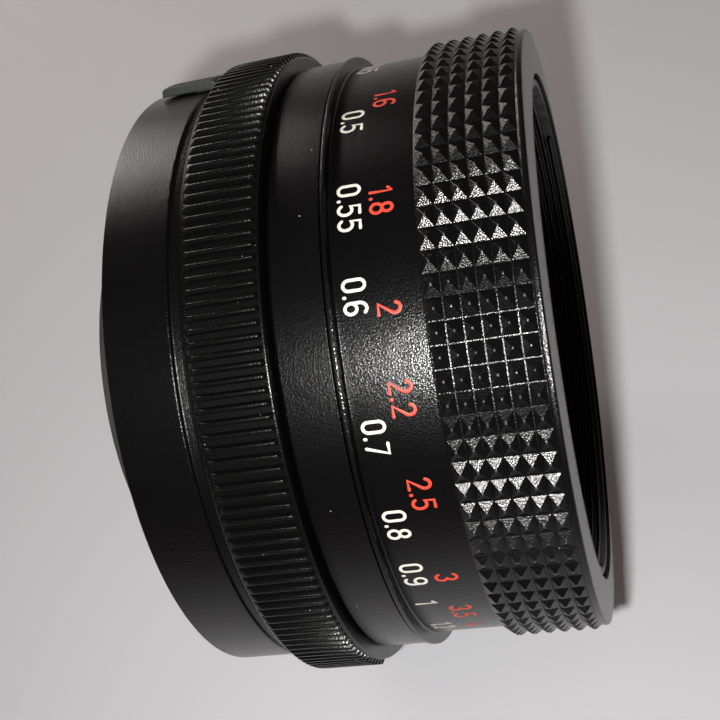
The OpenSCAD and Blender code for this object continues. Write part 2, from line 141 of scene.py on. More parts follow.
# part of a turn, closed at both ends; angle is where its middle stands, counted from +Y towards +Z
def turnBlock(name, corners, angle, sweep, steps):
    piece = drawOutline(name, corners)
    bpy.ops.mesh.edge_face_add()
    bpy.ops.mesh.spin(steps=steps, angle=radians(sweep), center=(0, 0, 0), axis=(1, 0, 0))
    bpy.ops.mesh.select_all(action="SELECT")
    bpy.ops.mesh.remove_doubles(threshold=1e-7)
    bpy.ops.mesh.normals_make_consistent(inside=False)
    bpy.ops.object.mode_set(mode="OBJECT")
    middle = sum((v.co for v in piece.data.vertices), Vector()) / len(piece.data.vertices)
    turnTo(piece, angle - degrees(atan2(middle.z, middle.y)))
    return piece


# a block of square section about x = at, from radius low to high
def turnStep(name, at, half, low, high, angle, sweep, steps):
    return turnBlock(name, [(at - half, low), (at - half, high), (at + half, high), (at + half, low)],
                     angle, sweep, steps)


# a point off the optical axis, in metres, at an angle counted from +Y towards +Z
def offAxis(angle, r, x=0.0):
    return Vector((x * mm, r * mm * cos(radians(angle)), r * mm * sin(radians(angle))))


# turns a piece's mesh about the optical axis, in degrees
def turnTo(piece, angle):
    piece.data.transform(Matrix.Rotation(radians(angle), 4, "X"))
    piece.data.update()


def applyModifier(piece, kind, **values):
    pick(piece)
    bpy.ops.object.modifier_add(type=kind)
    modifier = piece.modifiers[-1]
    for key, value in values.items():
        setattr(modifier, key, value)
    bpy.ops.object.modifier_apply(modifier=modifier.name)


def softenEdges(piece, width, segments=3, angle=28):
    applyModifier(piece, "BEVEL", width=width * mm, segments=segments, limit_method="ANGLE",
                  angle_limit=radians(angle), use_clamp_overlap=True)


def smoothShade(piece, angle=32):
    pick(piece)
    bpy.ops.object.shade_smooth_by_angle(angle=radians(angle))
    applyModifier(piece, "WEIGHTED_NORMAL", keep_sharp=True)


def cutWith(piece, cutter):
    applyModifier(piece, "BOOLEAN", operation="DIFFERENCE", solver="EXACT", object=cutter)
    bpy.data.objects.remove(cutter)


def joinInto(piece, others):
    pick(piece)
    for other in others:
        other.select_set(True)
    bpy.ops.object.join()
    return bpy.context.object


# copies a mesh round the optical axis, each copy its own geometry in the same piece
def repeatRound(piece, count):
    pick(piece)
    bpy.ops.object.mode_set(mode="EDIT")
    bpy.ops.mesh.select_all(action="SELECT")
    bpy.ops.mesh.spin(steps=count - 1, angle=2 * pi * (count - 1) / count, dupli=True,
                      center=(0, 0, 0), axis=(1, 0, 0))
    bpy.ops.object.mode_set(mode="OBJECT")


# a merged, smooth copy of a CAD node, for shapes that are right as they are
def cleanCopy(name, node, angle=32):
    piece = frame["nodes"][node].copy()
    piece.data = frame["nodes"][node].data.copy()
    piece.name = piece.data.name = name
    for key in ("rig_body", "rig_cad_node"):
        if key in piece:
            del piece[key]
    piece.parent = None
    piece.matrix_world = Matrix.Identity(4)
    bpy.context.scene.collection.objects.link(piece)
    pick(piece)
    bpy.ops.object.mode_set(mode="EDIT")
    bpy.ops.mesh.select_all(action="SELECT")
    bpy.ops.mesh.remove_doubles(threshold=1e-6)
    bpy.ops.mesh.normals_make_consistent(inside=False)
    bpy.ops.object.mode_set(mode="OBJECT")
    smoothShade(piece, angle)
    return piece


# a screw thread: a small ridge carried along the axis by the Screw modifier
def cutThread(name, start, pitch, turns, root, crest, width):
    ridge = [(start, root), (start + width / 2, crest), (start + width, root)]
    piece = drawOutline(name, ridge)
    bpy.ops.object.mode_set(mode="OBJECT")
    applyModifier(piece, "SCREW", axis="X", angle=2 * pi, screw_offset=pitch * mm, iterations=turns,
                  steps=128, render_steps=128, use_merge_vertices=False)
    bpy.ops.object.mode_set(mode="EDIT")
    bpy.ops.mesh.select_all(action="DESELECT")
    bpy.ops.mesh.select_non_manifold()
    bpy.ops.mesh.fill()
    bpy.ops.mesh.select_all(action="SELECT")
    bpy.ops.mesh.normals_make_consistent(inside=False)
    bpy.ops.object.mode_set(mode="OBJECT")
    return piece


# gives a piece its body, finish and the CAD nodes that it stands for
def fit(piece, body, finish, slotName, *nodes):
    piece.data.materials.clear()
    piece.data.materials.append(finish)
    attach(piece, body)
    if nodes:
        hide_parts(*nodes)


# ---------- shader groups ----------

def newGroup(name, inputs, outputs):
    group = bpy.data.node_groups.new(name, "ShaderNodeTree")
    for label, kind, value in inputs:
        socket = group.interface.new_socket(label, in_out="INPUT", socket_type=kind)
        socket.default_value = value
    for label, kind in outputs:
        group.interface.new_socket(label, in_out="OUTPUT", socket_type=kind)
    return group, group.nodes.new("NodeGroupInput"), group.nodes.new("NodeGroupOutput")


def addMath(tree, operation, first, second=None, third=None):
    node = tree.nodes.new("ShaderNodeMath")
    node.operation = operation
    for index, value in enumerate((first, second, third)):
        if value is None:
            continue
        if isinstance(value, (int, float)):
            node.inputs[index].default_value = value
        else:
            tree.links.new(value, node.inputs[index])
    return node.outputs[0]


# fine orange-peel of sprayed enamel: a bumped normal and a roughness that varies with it
def makePaintGrain():
    group, inputs, outputs = newGroup(
        "paintGrain",
        [("Grain Size", "NodeSocketFloat", 6400.0), ("Depth", "NodeSocketFloat", 0.5),
         ("Roughness", "NodeSocketFloat", 0.35), ("Variation", "NodeSocketFloat", 0.1)],
        [("Normal", "NodeSocketVector"), ("Roughness", "NodeSocketFloat")])
    links = group.links.new
    place = group.nodes.new("ShaderNodeTexCoord").outputs["Object"]
    grain = group.nodes.new("ShaderNodeTexVoronoi")
    links(place, grain.inputs["Vector"])
    links(inputs.outputs["Grain Size"], grain.inputs["Scale"])
    bump = group.nodes.new("ShaderNodeBump")
    bump.inputs["Distance"].default_value = 0.027 * mm
    links(grain.outputs["Distance"], bump.inputs["Height"])
    links(inputs.outputs["Depth"], bump.inputs["Strength"])
    patches = group.nodes.new("ShaderNodeTexNoise")
    patches.inputs["Scale"].default_value = 260.0
    patches.inputs["Detail"].default_value = 4.0
    links(place, patches.inputs["Vector"])
    spread = addMath(group, "SUBTRACT", patches.outputs["Fac"], 0.5)
    spread = addMath(group, "MULTIPLY", spread, inputs.outputs["Variation"])
    rough = addMath(group, "ADD", inputs.outputs["Roughness"], spread)
    links(bump.outputs["Normal"], outputs.inputs["Normal"])
    links(rough, outputs.inputs["Roughness"])
    return group


# loose dust: a mask of small scattered specks
def makeDust():
    group, inputs, outputs = newGroup(
        "dustSpecks",
        [("Spacing", "NodeSocketFloat", 1100.0), ("Speck Size", "NodeSocketFloat", 0.07),
         ("Amount", "NodeSocketFloat", 0.03)],
        [("Mask", "NodeSocketFloat")])
    links = group.links.new
    place = group.nodes.new("ShaderNodeTexCoord").outputs["Object"]
    cells = group.nodes.new("ShaderNodeTexVoronoi")
    links(place, cells.inputs["Vector"])
    links(inputs.outputs["Spacing"], cells.inputs["Scale"])
    near = addMath(group, "LESS_THAN", cells.outputs["Distance"], inputs.outputs["Speck Size"])
    split = group.nodes.new("ShaderNodeSeparateColor")
    links(cells.outputs["Color"], split.inputs["Color"])
    kept = addMath(group, "LESS_THAN", split.outputs["Red"], inputs.outputs["Amount"])
    links(addMath(group, "MULTIPLY", near, kept), outputs.inputs["Mask"])
    return group


# rubbed crests: a mask that grows towards the outermost radius, broken up by noise
def makeCrestWear():
    group, inputs, outputs = newGroup(
        "crestWear",
        [("Crest Radius", "NodeSocketFloat", 0.03), ("Band", "NodeSocketFloat", 0.0001),
         ("Amount", "NodeSocketFloat", 0.5), ("Break-up", "NodeSocketFloat", 1500.0)],
        [("Mask", "NodeSocketFloat")])
    links = group.links.new
    place = group.nodes.new("ShaderNodeTexCoord").outputs["Object"]
    split = group.nodes.new("ShaderNodeSeparateXYZ")
    links(place, split.inputs["Vector"])
    y2 = addMath(group, "MULTIPLY", split.outputs["Y"], split.outputs["Y"])
    r2 = addMath(group, "MULTIPLY_ADD", split.outputs["Z"], split.outputs["Z"], y2)
    below = addMath(group, "SUBTRACT", inputs.outputs["Crest Radius"], addMath(group, "SQRT", r2))
    height = addMath(group, "SUBTRACT", 1.0, addMath(group, "DIVIDE", below, inputs.outputs["Band"]))
    patches = group.nodes.new("ShaderNodeTexNoise")
    patches.inputs["Detail"].default_value = 3.0
    links(place, patches.inputs["Vector"])
    links(inputs.outputs["Break-up"], patches.inputs["Scale"])
    broken = addMath(group, "SUBTRACT", addMath(group, "ADD", height, patches.outputs["Fac"]), 1.0)
    mask = addMath(group, "MULTIPLY", addMath(group, "MULTIPLY", broken, 2.5), inputs.outputs["Amount"])
    clamp = group.nodes.new("ShaderNodeClamp")
    links(mask, clamp.inputs["Value"])
    links(clamp.outputs["Result"], outputs.inputs["Mask"])
    return group


paintGrain = makePaintGrain()
dustSpecks = makeDust()
crestWear = makeCrestWear()


# ---------- finishes ----------

def placeGroup(tree, group, **values):
    node = tree.nodes.new("ShaderNodeGroup")
    node.node_tree = group
    for label, value in values.items():
        node.inputs[label.replace("_", " ")].default_value = value
    return node


def mixColours(tree, mask, under, over):
    mix = tree.nodes.new("ShaderNodeMix")
    mix.data_type = "RGBA"
    tree.links.new(mask, mix.inputs["Factor"])
    if isinstance(under, tuple):
        mix.inputs["A"].default_value = (*under, 1)
    else:
        tree.links.new(under, mix.inputs["A"])
    mix.inputs["B"].default_value = (*over, 1)
    return mix.outputs["Result"]


# black or bare metal with grain, dust and, where crest is given, rubbed crests
def makeFinish(name, look):
    finish = bpy.data.materials.new(name)
    finish.use_nodes = True
    tree = finish.node_tree
    shader = tree.nodes["Principled BSDF"]
    shader.inputs["Metallic"].default_value = look.get("metallic", 0.0)
    shader.inputs["IOR"].default_value = look.get("ior", 1.5)
    grain = placeGroup(tree, paintGrain, Grain_Size=look["grain"], Depth=look["depth"],
                       Roughness=look["roughness"], Variation=look.get("variation", 0.1))
    tree.links.new(grain.outputs["Normal"], shader.inputs["Normal"])
    tree.links.new(grain.outputs["Roughness"], shader.inputs["Roughness"])
    dust = placeGroup(tree, dustSpecks, Amount=look.get("dust", 0.03))
    colour = mixColours(tree, dust.outputs["Mask"], look["colour"],
                        look.get("dustColour", (0.3, 0.31, 0.31)))
    if "crest" in look:
        wear = placeGroup(tree, crestWear, Crest_Radius=look["crest"] * mm, Band=look["band"] * mm,
                          Amount=look["wear"])
        colour = mixColours(tree, wear.outputs["Mask"], colour, look["wearColour"])
    tree.links.new(colour, shader.inputs["Base Color"])
    return finish


def makeGlass(name, colour, reflection):
    finish = bpy.data.materials.new(name)
    finish.use_nodes = True
    shader = finish.node_tree.nodes["Principled BSDF"]
    shader.inputs["Base Color"].default_value = (*colour, 1)
    shader.inputs["Roughness"].default_value = 0.0
    shader.inputs["IOR"].default_value = 1.62
    shader.inputs["Transmission Weight"].default_value = 1.0
    shader.inputs["Specular Tint"].default_value = (*reflection, 1)
    return finish


gripCrest = ringSpan("focus_grip")[2]

enamelBlack = makeFinish("enamelBlack", {
    "colour": (0.0018, 0.0018, 0.0019), "roughness": 0.23, "variation": 0.04, "grain": 6800, "depth": 0.8,
    "ior": 1.4, "dust": 0.02})
gripEnamel = makeFinish("gripEnamel", {
    "colour": (0.0018, 0.0019, 0.002), "roughness": 0.25, "variation": 0.06, "grain": 6800, "depth": 0.75,
    "ior": 1.45, "dust": 0.03, "crest": gripCrest, "band": 0.08, "wear": 0.35,
    "wearColour": (0.12, 0.12, 0.12)})
ribEnamel = makeFinish("ribEnamel", {
    "colour": (0.002, 0.0024, 0.0022), "roughness": 0.24, "variation": 0.06, "grain": 5700, "depth": 0.5,
    "ior": 1.36, "dust": 0.2, "dustColour": (0.16, 0.18, 0.17)})
anodisedBlack = makeFinish("anodisedBlack", {
    "colour": (0.004, 0.004, 0.0045), "roughness": 0.4, "grain": 6400, "depth": 0.3, "metallic": 0.2})
matteBlack = makeFinish("matteBlack", {
    "colour": (0.0025, 0.0025, 0.0025), "roughness": 0.7, "grain": 6400, "depth": 0.6})
threadGrey = makeFinish("threadGrey", {
    "colour": (0.055, 0.06, 0.056), "roughness": 0.42, "grain": 3600, "depth": 0.25, "metallic": 0.6})
blackSteel = makeFinish("blackSteel", {
    "colour": (0.05, 0.05, 0.052), "roughness": 0.36, "grain": 3600, "depth": 0.3, "metallic": 0.8})
groundSteel = makeFinish("groundSteel", {
    "colour": (0.6, 0.6, 0.61), "roughness": 0.27, "grain": 2800, "depth": 0.25, "metallic": 1.0})
bladeSteel = makeFinish("bladeSteel", {
    "colour": (0.09, 0.092, 0.105), "roughness": 0.38, "grain": 3600, "depth": 0.3, "metallic": 0.9})
turnedBrass = makeFinish("turnedBrass", {
    "colour": (0.55, 0.38, 0.14), "roughness": 0.34, "grain": 2800, "depth": 0.3, "metallic": 1.0})
machinedAlloy = makeFinish("machinedAlloy", {
    "colour": (0.5, 0.51, 0.52), "roughness": 0.36, "grain": 2500, "depth": 0.3, "metallic": 1.0})
switchBlack = makeFinish("switchBlack", {
    "colour": (0.01, 0.0145, 0.012), "roughness": 0.5, "grain": 3600, "depth": 0.5, "dust": 0.05})
whiteFill = makeFinish("whiteFill", {
    "colour": (0.6, 0.61, 0.52), "roughness": 0.5, "grain": 6400, "depth": 0.3, "dust": 0.0})
orangeFill = makeFinish("orangeFill", {
    "colour": (0.62, 0.045, 0.02), "roughness": 0.5, "grain": 6400, "depth": 0.3, "dust": 0.0})
coatedGlass = makeGlass("coatedGlass", (0.97, 0.985, 0.99), (0.62, 0.45, 0.85))
print("finishes mixed")

# ---------- rear barrel and mount ----------

rearBarrelLook = {"grooveWidth": 0.9, "grooveDepth": 0.35, "slope": 0.15, "plate": 1.5, "wall": 28.8,
                  "neck": 20.02, "relief": 21.2, "reliefDepth": 0.5, "edge": 0.12}
switchLook = {"angle": 46, "slotBack": 11, "slotAhead": 5, "slotHalf": 1.2, "stemAt": 5.1, "rear": 1.1,
              "front": 6.9, "sweep": 11, "gap": 0.2, "height": 1.05, "corner": 0.3, "edge": 0.12,
              "ridges": 5, "ridgePitch": 1.8, "ridgeSweep": 0.62, "ridgeDepth": 0.22, "ridgeEnd": 0.9,
              "stemHalf": 0.9, "stemFoot": 28.5, "stemSweep": 4, "footHalf": 1.3, "footLow": 27.9,
              "footHigh": 28.55, "footSweep": 8}
mountScrewLook = {"angles": (30, 150, 270), "at": 24.6, "hole": 1.02, "head": 1.72, "headDepth": 0.62}


# a rod along the axis, to cut a screw hole with
def drillRod(angle, at, r, x0, x1):
    deselectAll()
    bpy.ops.mesh.primitive_cylinder_add(vertices=32, radius=r * mm, depth=(x1 - x0) * mm,
                                        rotation=(0, pi / 2, 0),
                                        location=offAxis(angle, at, (x0 + x1) / 2))
    bpy.ops.object.transform_apply()
    return bpy.context.object


def makeRearBarrel(look):
    x0, x1, r = ringSpan("rear_barrel")
    grooveX = x1 - look["grooveWidth"]
    low = r - look["grooveDepth"]
    piece = turnOnLathe("rearBarrel", [
        (x0, look["relief"]), (x0, r), (grooveX, r), (grooveX + look["slope"], low), (x1, low),
        (x1, look["wall"]), (look["plate"], look["wall"]), (look["plate"], look["neck"]),
        (look["reliefDepth"], look["neck"]), (look["reliefDepth"], look["relief"])])
    softenEdges(piece, look["edge"])
    slotMiddle = switchLook["angle"] + (switchLook["slotAhead"] - switchLook["slotBack"]) / 2
    slotRear = switchLook["stemAt"] - switchLook["slotHalf"]
    slotFront = switchLook["stemAt"] + switchLook["slotHalf"]
    cutWith(piece, turnBlock("slotCutter", [(slotRear, look["wall"] - 1), (slotRear, r + 1),
                                            (slotFront, r + 1), (slotFront, look["wall"] - 1)],
                             slotMiddle, switchLook["slotAhead"] + switchLook["slotBack"], 12))
    for angle in mountScrewLook["angles"]:
        at = mountScrewLook["at"]
        cutWith(piece, drillRod(angle, at, mountScrewLook["hole"], x0 - 1, look["plate"] + 1))
        cutWith(piece, drillRod(angle, at, mountScrewLook["head"], x0 - 1, mountScrewLook["headDepth"]))
    smoothShade(piece)
    fit(piece, "base", enamelBlack, "black_paint", "rear_barrel")


def makeModeSwitch(look):
    barrelR = ringSpan("rear_barrel")[2]
    low, high = barrelR + look["gap"], barrelR + look["height"]
    rear, front, corner = look["rear"], look["front"], look["corner"]
    block = turnBlock("modeSwitch", [(rear, low), (rear + 0.15, high - 0.2), (rear + 0.4, high),
                                     (front - corner, high), (front, high - corner), (front, low)],
                      look["angle"], look["sweep"], 14)
    softenEdges(block, look["edge"], 2)
    ridgeFloor, ridgeFront = high - look["ridgeDepth"], front - look["ridgeEnd"]
    for i in range(look["ridges"]):
        offset = (i - (look["ridges"] - 1) / 2) * look["ridgePitch"]
        cutWith(block, turnBlock("ridgeCutter", [(rear - 1, ridgeFloor), (rear - 1, high + 1),
                                                 (ridgeFront, high + 1), (ridgeFront, ridgeFloor)],
                                 look["angle"] + offset, look["ridgeSweep"], 1))
    stem = turnStep("switchStem", look["stemAt"], look["stemHalf"], look["stemFoot"], low + 0.2,
                    look["angle"], look["stemSweep"], 6)
    foot = turnStep("switchFoot", look["stemAt"], look["footHalf"], look["footLow"], look["footHigh"],
                    look["angle"], look["footSweep"], 8)
    piece = joinInto(block, [stem, foot])
    smoothShade(piece)
    fit(piece, "mode_switch", switchBlack, "switch_black", "mode_switch")


mountLook = {"bore": 18.0, "mouth": 19.3, "step": -2.8, "neck": 20.0, "collar": 22.6, "collarRear": 1.5,
             "collarFront": 2.4, "root": 20.45, "crest": 21.0, "start": 0.35, "pitch": 1.0, "turns": 4,
             "ridge": 0.86}


def makeMountThread(look):
    x0 = ringSpan("mount_thread_ring")[0]
    core = turnOnLathe("mountThread", [
        (x0, look["mouth"]), (x0, look["root"]), (0, look["root"]), (0, look["neck"]),
        (look["collarRear"], look["neck"]), (look["collarRear"], look["collar"]),
        (look["collarFront"], look["collar"]), (look["collarFront"], look["bore"]),
        (look["step"], look["bore"]), (look["step"], look["mouth"])])
    softenEdges(core, 0.15, 2)
    thread = cutThread("mountRidge", x0 + look["start"], look["pitch"], look["turns"], look["root"] - 0.1,
                       look["crest"], look["ridge"])
    piece = joinInto(core, [thread])
    smoothShade(piece, 30)
    fit(piece, "base", threadGrey, "thread_metal", "mount_thread_ring")


makeRearBarrel(rearBarrelLook)
makeModeSwitch(switchLook)
makeMountThread(mountLook)
print("rear barrel and mount done")

# ---------- stop-down pin and its spring ----------

pinLook = {"angle": 66.5, "at": 16.6, "r": 0.85, "tipR": 0.6, "tip": 0.3, "collarR": 1.25,
           "collarRear": -2.2, "collarFront": -1.5, "wire": 0.13, "coilR": 1.1, "coils": 7, "travel": 2.0}


def makeStopPin(look):
    x0, x1, _ = ringSpan("stop_down_pin")
    piece = turnOnLathe("stopDownPin", [
        (x0, 0), (x0, look["tipR"] - 0.15), (x0 + 0.12, look["tipR"] - 0.03), (x0 + look["tip"], look["r"]),
        (look["collarRear"], look["r"]), (look["collarRear"], look["collarR"]),
        (look["collarFront"], look["collarR"]), (look["collarFront"], look["r"]),
        (x1, look["r"]), (x1, 0)], 40)
    piece.data.transform(Matrix.Translation(offAxis(look["angle"], look["at"])))
    softenEdges(piece, 0.05, 2)
    smoothShade(piece)
    fit(piece, "stop_down_pin", groundSteel, "steel", "stop_down_pin")


# a coil of round wire over the pin spring's length; the real spring shortens as the pin is pressed, but
# this mesh keeps its length
def makePinSpring(look):
    x0, x1, _ = ringSpan("pin_spring")
    deselectAll()
    bpy.ops.mesh.primitive_circle_add(vertices=8, radius=look["wire"] * mm,
                                      location=((x0 + look["wire"]) * mm, look["coilR"] * mm, 0))
    piece = bpy.context.object
    piece.name = piece.data.name = "pinSpring"
    bpy.ops.object.transform_apply()
    length = (x1 - x0 - 2 * look["wire"]) * mm
    applyModifier(piece, "SCREW", axis="X", angle=2 * pi, screw_offset=length / look["coils"],
                  iterations=look["coils"], steps=24, render_steps=24)
    bpy.ops.object.mode_set(mode="EDIT")
    bpy.ops.mesh.select_all(action="DESELECT")
    bpy.ops.mesh.select_non_manifold()
    bpy.ops.mesh.edge_face_add()
    bpy.ops.mesh.select_all(action="SELECT")
    bpy.ops.mesh.normals_make_consistent(inside=False)
    bpy.ops.object.mode_set(mode="OBJECT")
    piece.data.transform(Matrix.Translation(offAxis(look["angle"], look["at"])))
    smoothShade(piece, 60)
    fit(piece, "base", groundSteel, "steel", "pin_spring")
    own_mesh(piece)


makeStopPin(pinLook)
makePinSpring(pinLook)
print("stop-down pin done")

# ---------- aperture ring ----------

apertureLook = {"bore": 28.58, "lipDepth": 1.45, "shoulder": 1.3, "corner": 0.2, "ribs": 180,
                "groove": 0.5, "ribFoot": 0.74, "ribTop": 0.32, "ribRear": 0.7, "ribFront": 0.16,
                "rearLean": 0.75, "frontLean": 0.3, "sink": 0.2, "scaleFrom": 196.5, "scaleTo": 252.5}


def makeApertureRing(look):
    x0, x1, crest = ringSpan("aperture_ring")
    floor = crest - look["groove"]
    shoulder, corner = look["shoulder"], look["corner"]
    body = turnOnLathe("apertureRing", [(x0, look["bore"]), (x0, crest - look["lipDepth"])] +
                       roundStretch(x0 + 0.1 + shoulder, floor - shoulder, shoulder, 165, 90) +
                       [(x1 - 0.3, floor)] + roundStretch(x1 - corner, floor - corner, corner, 80, 0, 4) +
                       [(x1, look["bore"])])
    smoothShade(body)
    deselectAll()
    ribEnd = x1 - look["ribFront"]
    length = ribEnd - x0 - look["ribRear"]
    height = look["groove"] + look["sink"]
    bpy.ops.mesh.primitive_cube_add(size=1)
    rib = bpy.context.object
    rib.scale = (length * mm, height * mm, look["ribFoot"] * mm)
    rib.location = ((x0 + look["ribRear"] + length / 2) * mm, (crest - height / 2) * mm, 0)
    bpy.ops.object.transform_apply()
    for vertex in rib.data.vertices:      # the crest is narrower than the foot and its ends lean in
        if vertex.co.y > (crest - 0.1) * mm:
            vertex.co.z *= look["ribTop"] / look["ribFoot"]
            rear = vertex.co.x < (x0 + length / 2) * mm
            vertex.co.x += (look["rearLean"] if rear else -look["frontLean"]) * mm
    softenEdges(rib, 0.1, 2, 20)
    pick(rib)
    bpy.ops.object.shade_smooth_by_angle(angle=radians(50))
    ribs = []
    pitch = 360 / look["ribs"]
    for i in range(look["ribs"]):
        angle = i * pitch
        if look["scaleFrom"] < angle < look["scaleTo"]:
            continue
        copy = rib.copy()
        copy.data = rib.data.copy()
        bpy.context.scene.collection.objects.link(copy)
        turnTo(copy, angle)
        ribs.append(copy)
    bpy.data.objects.remove(rib)
    piece = joinInto(body, ribs)
    fit(piece, "aperture_ring", ribEnamel, "ring_black", "aperture_ring")


makeApertureRing(apertureLook)
print("aperture ring ribbed")

# ---------- depth-of-field ring and focus ring ----------

depthLook = {"bore": 28.52, "bevel": 0.3, "edge": 0.06}
scaleLook = {"lip": 1.2, "lipLength": 0.4, "corner": 0.12, "skirt": 29.3, "bore": 28.8, "skirtFront": 35.4,
             "gap": 0.02, "edge": 0.08}
gripLook = {"rows": 96, "columns": 6, "phase": 0.95, "height": 0.46, "valley": 0.01, "point": 0.07,
            "sink": 0.04, "edge": 0.12, "rimStart": 0.9, "bore": 25.7, "inside": 29.32, "wallRear": 35.55}


def makeDepthRing(look):
    x0, x1, r = ringSpan("depth_scale_ring")
    bore, bevel = look["bore"], look["bevel"]
    piece = turnOnLathe("depthRing", [(x0, bore), (x0, r - bevel), (x0 + bevel, r), (x1, r), (x1, bore)])
    softenEdges(piece, look["edge"])
    smoothShade(piece)
    fit(piece, "base", enamelBlack, "black_paint", "depth_scale_ring")


def makeFocusScale(look):
    x0, _, lipR = ringSpan("focus_scale_ring")
    bandR = lipR - look["lip"]
    bandFront = ringSpan("focus_grip")[0] - look["gap"]
    lipEnd = x0 + look["lipLength"]
    bore, skirt, skirtFront, corner = look["bore"], look["skirt"], look["skirtFront"], look["corner"]
    piece = turnOnLathe("focusScale", [
        (x0, bore), (x0, lipR), (lipEnd, lipR), (lipEnd, bandR + corner), (lipEnd + corner, bandR),
        (bandFront, bandR), (bandFront, skirt), (skirtFront, skirt), (skirtFront, bore)])
    softenEdges(piece, look["edge"])
    smoothShade(piece, 40)
    fit(piece, "focus_ring", enamelBlack, "black_paint", "focus_scale_ring")


# rows of four-sided points round a plain ring with a rounded front rim
def makeGrip(look):
    x0, x1, crest = ringSpan("focus_grip")
    floor = crest - look["height"]
    rimX = x1 - look["rimStart"]
    edge, bore, wallRear = look["edge"], look["bore"], look["wallRear"]
    body = turnOnLathe("focusGrip", [(x0, look["inside"]), (x0, floor - edge), (x0 + edge, floor),
                                     (rimX, floor), (rimX + edge, floor + 0.1), (x1 - 0.42, floor + edge),
                                     (x1 - 0.3, floor + 0.05), (x1 - 0.25, floor - edge),
                                     (x1 - 0.05, bore + 0.35), (x1, bore + 0.2), (x1 - 0.06, bore),
                                     (wallRear, bore), (wallRear, look["inside"])])
    softenEdges(body, 0.05, 2, 18)
    smoothShade(body, 40)
    pitch = (rimX - x0 - edge) / look["columns"]
    rowWidth = 2 * pi * floor / look["rows"]
    deselectAll()
    bpy.ops.mesh.primitive_cone_add(vertices=4, radius1=1, radius2=look["point"], depth=1)
    stud = bpy.context.object
    stud.rotation_euler = (0, 0, pi / 4)
    bpy.ops.object.transform_apply()
    wide = (rowWidth - look["valley"]) / 2 ** 0.5
    long = (pitch - look["valley"]) / 2 ** 0.5
    stud.data.transform(Matrix.Diagonal((long * mm, wide * mm, (look["height"] + look["sink"]) * mm, 1)))
    stud.data.transform(Matrix(((1, 0, 0, 0), (0, 0, 1, 0), (0, -1, 0, 0), (0, 0, 0, 1))))
    middle = (floor + crest - look["sink"]) / 2
    stud.data.transform(Matrix.Translation(((x0 + edge + pitch / 2) * mm, middle * mm, 0)))
    softenEdges(stud, 0.018, 1, 20)
    applyModifier(stud, "ARRAY", count=look["columns"], use_relative_offset=False,
                  use_constant_offset=True, constant_offset_displace=(pitch * mm, 0, 0))
    turnTo(stud, look["phase"])
    repeatRound(stud, look["rows"])
    piece = joinInto(body, [stud])
    fit(piece, "focus_ring", gripEnamel, "grip_black", "focus_grip")


makeDepthRing(depthLook)
makeFocusScale(scaleLook)
makeGrip(gripLook)
print("focus ring knurled")

# ---------- scales ----------

figureLook = {"width": 1.1, "height": 2.1, "narrow": 0.83, "low": 0.89, "pen": 0.142, "flatten": 0.14,
              "gap": 0.63}


# an arc of an ellipse as points, angles in degrees
def bow(x, y, rx, ry, start, stop, count=14):
    turns = [radians(start + (stop - start) * i / count) for i in range(count + 1)]
    return [(x + rx * cos(a), y + ry * sin(a)) for a in turns]


# strokes of each figure in a box 1.1 wide and 2.1 high; a stroke whose ends meet is closed
figures = {
    "0": [bow(0.55, 1.55, 0.55, 0.55, 0, 180) + bow(0.55, 0.55, 0.55, 0.55, 180, 360) + [(1.1, 1.55)]],
    "1": [[(0.1, 1.74), (0.5, 2.1), (0.5, 0)]],
    "2": [bow(0.53, 1.55, 0.53, 0.55, 165, -32) + [(0, 0), (1.1, 0)]],
    "3": [bow(0.5, 1.58, 0.5, 0.52, 155, -80) + bow(0.52, 0.55, 0.56, 0.55, 80, -155)],
    "4": [[(0.72, 2.1), (0, 0.62), (1.1, 0.62)], [(0.82, 1.25), (0.82, 0)]],
    "5": [[(1.0, 2.1), (0.14, 2.1), (0.08, 1.16)] + bow(0.5, 0.67, 0.58, 0.67, 112, -145)],
    "6": [bow(0.62, 1.4, 0.62, 0.7, 50, 180) + [(0, 0.6)] + bow(0.55, 0.58, 0.55, 0.58, 180, 540)],
    "7": [[(0, 2.1), (1.08, 2.1), (0.38, 0)]],
    "8": [bow(0.55, 1.6, 0.46, 0.5, -90, 270), bow(0.55, 0.56, 0.55, 0.56, 90, 450)],
    "9": [bow(0.48, 0.7, 0.62, 0.7, 230, 360) + [(1.1, 1.5)] + bow(0.55, 1.52, 0.55, 0.58, 0, 360)],
    ".": [[(0, 0.0), (0, 0.1)]],
    "~": [bow(0.45, 1.0, 0.45, 0.4, 40, 320) + bow(1.55, 1.0, 0.45, 0.4, -140, 140) + [(0.795, 1.257)]],
    "|": [[(0, 0), (0, 2.1)]],
}
figureWidths = {".": 0.0, "1": 0.62, "~": 2.0, "|": 0.0}


def textWidth(text, scale):
    letters = sum(figureWidths.get(letter, figureLook["width"]) for letter in text)
    return (letters + figureLook["gap"] * (len(text) - 1)) * scale * figureLook["narrow"]


